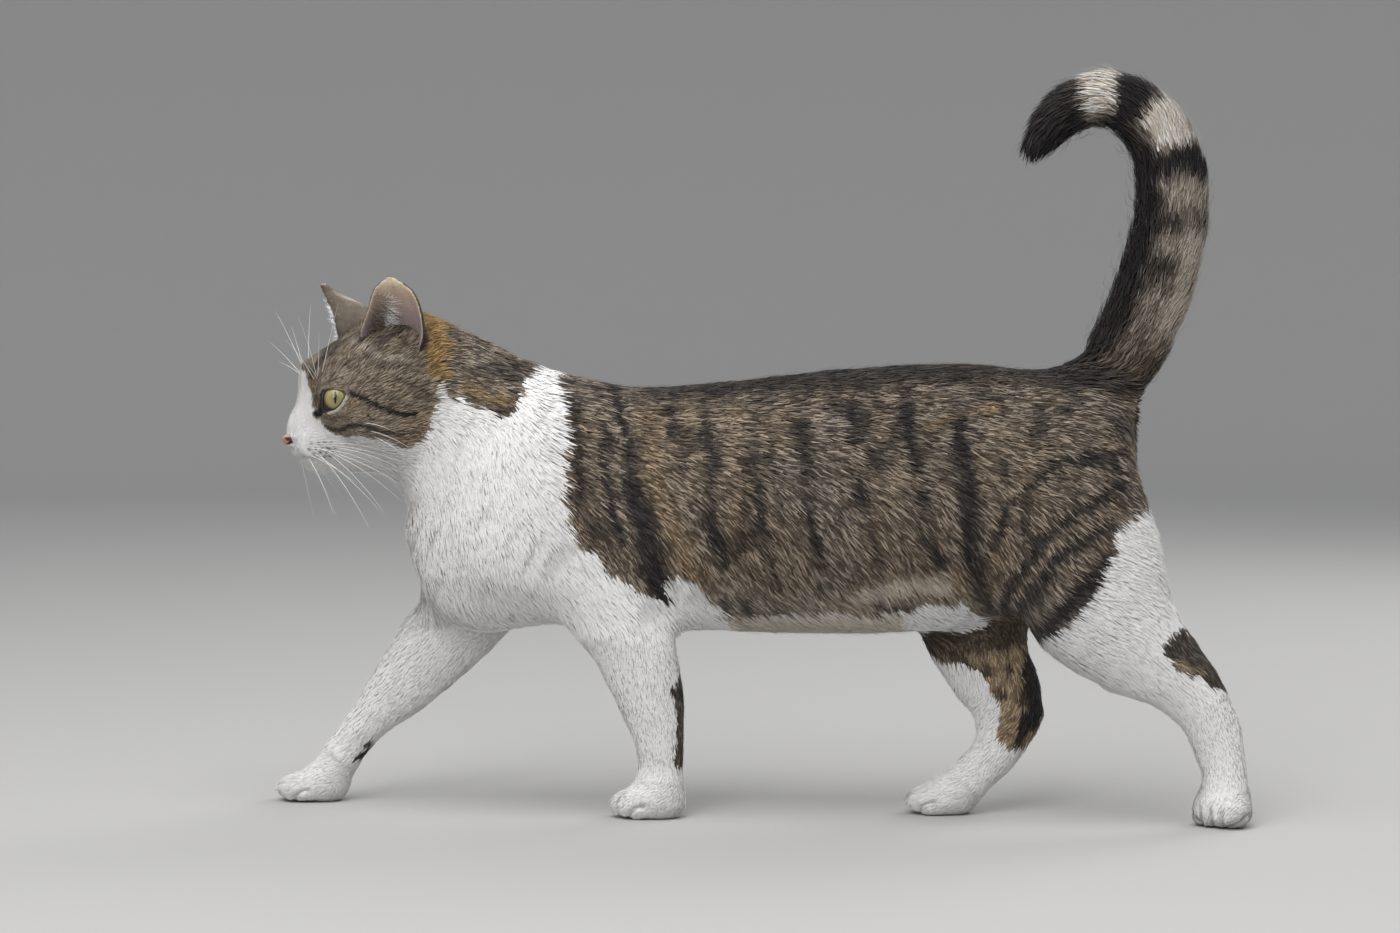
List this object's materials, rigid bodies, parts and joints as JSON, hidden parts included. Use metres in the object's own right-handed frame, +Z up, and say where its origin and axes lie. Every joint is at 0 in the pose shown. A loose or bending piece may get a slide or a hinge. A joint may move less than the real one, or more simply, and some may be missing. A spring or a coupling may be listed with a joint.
{
  "type": "cat",
  "caption": "Short-haired tabby and white house cat at life size, walking with its tail carried high and its head turned a little to its left.",
  "frame": {"origin": "on the floor, under the middle of the cat's whole length and width", "axes": "-X towards the head, +X towards the tail, -Y on the cat's left side, +Z up from the floor"},
  "size_m": [0.5816, 0.1228, 0.4346],
  "materials": {
    "tabby_coat": "brown mackerel tabby fur, grey-brown ticked hair with black stripes",
    "white_coat": "soft white fur",
    "ear": "thin short fur outside, bare pinkish skin inside",
    "eye": "wet, clear, yellow-green iris with an upright slit pupil",
    "nose_leather": "pink, pebbled, slightly damp",
    "paw_pad": "pink and dark, pebbled, dry",
    "claw": "pale horn",
    "whisker": "stiff white hair"
  },
  "bodies": {
    "root": {"head": "tabby_coat", "neck": "tabby_coat", "chest": "tabby_coat", "belly": "tabby_coat", "rump": "tabby_coat", "tail_root": "tabby_coat", "tail_middle": "tabby_coat", "tail_end": "tabby_coat", "hind_left_thigh": "tabby_coat", "hind_right_thigh": "tabby_coat", "hind_right_shin": "tabby_coat", "lower_jaw": "white_coat", "front_left_foreleg": "white_coat", "front_left_paw": "white_coat", "front_right_foreleg": "white_coat", "front_right_paw": "white_coat", "hind_left_shin": "white_coat", "hind_left_foot": "white_coat", "hind_left_paw": "white_coat", "hind_right_foot": "white_coat", "hind_right_paw": "white_coat", "ear_left": "ear", "ear_right": "ear", "eye_left": "eye", "eye_right": "eye", "nose": "nose_leather"}
  },
  "joints": []
}
